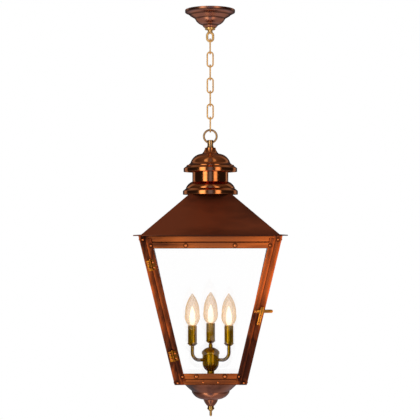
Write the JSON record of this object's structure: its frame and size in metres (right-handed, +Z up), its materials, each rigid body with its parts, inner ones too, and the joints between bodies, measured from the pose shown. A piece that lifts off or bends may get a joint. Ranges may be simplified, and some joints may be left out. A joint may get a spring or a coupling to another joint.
{
  "type": "chain pendant lantern",
  "caption": "Tapered square copper lantern with a glazed hinged door, candle lamps inside, a spun cupola above and a brass chain to a ceiling canopy.",
  "frame": {"origin": "middle of the ceiling plane, at the centre of the canopy rim and of the two ceiling screws", "axes": "+Z up into the ceiling, -Y out of the lantern's door, +X to the right of the door"},
  "size_m": [0.3284, 0.3284, 0.9137],
  "materials": {
    "canopy_copper": "dark lacquered copper",
    "cupola_copper": "polished dark copper",
    "roof_copper": "brown lacquered copper sheet",
    "frame_copper": "lacquered copper sheet",
    "rivet_copper": "bright copper",
    "polished_brass": "polished brass",
    "chain_brass": "satin brass",
    "antique_brass": "antique brass",
    "cluster_brass": "antique brass",
    "clear_glass": "clear flat glass",
    "bulb_glass": "clear lamp glass",
    "zinc_steel": "zinc plated steel",
    "socket_plastic": "moulded lamp socket"
  },
  "bodies": {
    "ceiling": {"ceiling_crossbar": "zinc_steel", "canopy": "canopy_copper", "canopy_nipple": "zinc_steel", "canopy_locknut": "zinc_steel", "screw_collar": "polished_brass", "canopy_loop": "polished_brass"},
    "link_1": {"chain_link_1": "chain_brass"},
    "link_2": {"chain_link_2": "chain_brass"},
    "link_3": {"chain_link_3": "chain_brass"},
    "link_4": {"chain_link_4": "chain_brass"},
    "link_5": {"chain_link_5": "chain_brass"},
    "link_6": {"chain_link_6": "chain_brass"},
    "link_7": {"chain_link_7": "chain_brass"},
    "ring": {"hanging_ring": "antique_brass"},
    "lantern": {"ring_holder": "antique_brass", "hanger_pipe": "zinc_steel", "lock_nuts": "zinc_steel", "cupola_cap": "cupola_copper", "cupola_drum": "cupola_copper", "cupola_base": "cupola_copper", "hanger_strap": "zinc_steel", "roof": "roof_copper", "top_band": "frame_copper", "post_front_left": "frame_copper", "post_front_right": "frame_copper", "post_back_left": "frame_copper", "post_back_right": "frame_copper", "bottom_pan": "frame_copper", "bottom_bowl": "cupola_copper", "bottom_finial": "polished_brass", "tie_rod": "zinc_steel", "frame_rivets": "rivet_copper", "glass_left": "clear_glass", "glass_right": "clear_glass", "glass_back": "clear_glass", "glass_beads": "frame_copper", "hinge_post_leaves": "polished_brass", "hinge_pins": "polished_brass", "latch_keeper": "polished_brass", "cluster_stem": "cluster_brass", "cluster_hub": "cluster_brass", "hub_cap": "cluster_brass", "candle_arm_1": "cluster_brass", "candle_arm_2": "cluster_brass", "candle_arm_3": "cluster_brass", "candle_cups": "cluster_brass", "candle_sleeves": "cluster_brass", "lamp_sockets": "socket_plastic", "bulb_1": "bulb_glass", "bulb_2": "bulb_glass", "bulb_3": "bulb_glass"},
    "door": {"door_stile_left": "frame_copper", "door_stile_right": "frame_copper", "door_top_rail": "frame_copper", "door_bottom_rail": "frame_copper", "door_glass": "clear_glass", "door_glass_tabs": "frame_copper", "hinge_door_leaves": "polished_brass", "door_rivets": "rivet_copper"},
    "latch": {"latch_bar": "polished_brass"}
  },
  "joints": [
    {"name": "link_1_swing", "type": "hinge", "parent": "ceiling", "child": "link_1", "pos_m": [0, 0, -0.07], "axis": [1, 0, 0], "range_deg": [-15, 15]},
    {"name": "link_2_swing", "type": "hinge", "parent": "link_1", "child": "link_2", "pos_m": [0, 0, -0.0983], "axis": [0, 1, 0], "range_deg": [-15, 15]},
    {"name": "link_3_swing", "type": "hinge", "parent": "link_2", "child": "link_3", "pos_m": [0, 0, -0.1276], "axis": [1, 0, 0], "range_deg": [-15, 15]},
    {"name": "link_4_swing", "type": "hinge", "parent": "link_3", "child": "link_4", "pos_m": [0, 0, -0.1569], "axis": [0, 1, 0], "range_deg": [-15, 15]},
    {"name": "link_5_swing", "type": "hinge", "parent": "link_4", "child": "link_5", "pos_m": [0, 0, -0.1862], "axis": [1, 0, 0], "range_deg": [-15, 15]},
    {"name": "link_6_swing", "type": "hinge", "parent": "link_5", "child": "link_6", "pos_m": [0, 0, -0.2155], "axis": [0, 1, 0], "range_deg": [-15, 15]},
    {"name": "link_7_swing", "type": "hinge", "parent": "link_6", "child": "link_7", "pos_m": [0, 0, -0.2448], "axis": [1, 0, 0], "range_deg": [-15, 15]},
    {"name": "ring_swing", "type": "hinge", "parent": "link_7", "child": "ring", "pos_m": [0, 0, -0.2741], "axis": [0, 1, 0], "range_deg": [-15, 15]},
    {"name": "lantern_swing", "type": "hinge", "parent": "ring", "child": "lantern", "pos_m": [0, 0, -0.2986], "axis": [1, 0, 0], "range_deg": [-15, 15]},
    {"name": "door_swing", "type": "hinge", "parent": "lantern", "child": "door", "pos_m": [-0.10383, -0.12063, -0.67005], "axis": [0.2174, 0.2174, -0.9516], "range_deg": [0, 105]},
    {"name": "latch_lift", "type": "hinge", "parent": "door", "child": "latch", "pos_m": [0.09737, -0.11803, -0.66977], "axis": [0, -0.9749, -0.2227], "range_deg": [0, 60]}
  ]
}
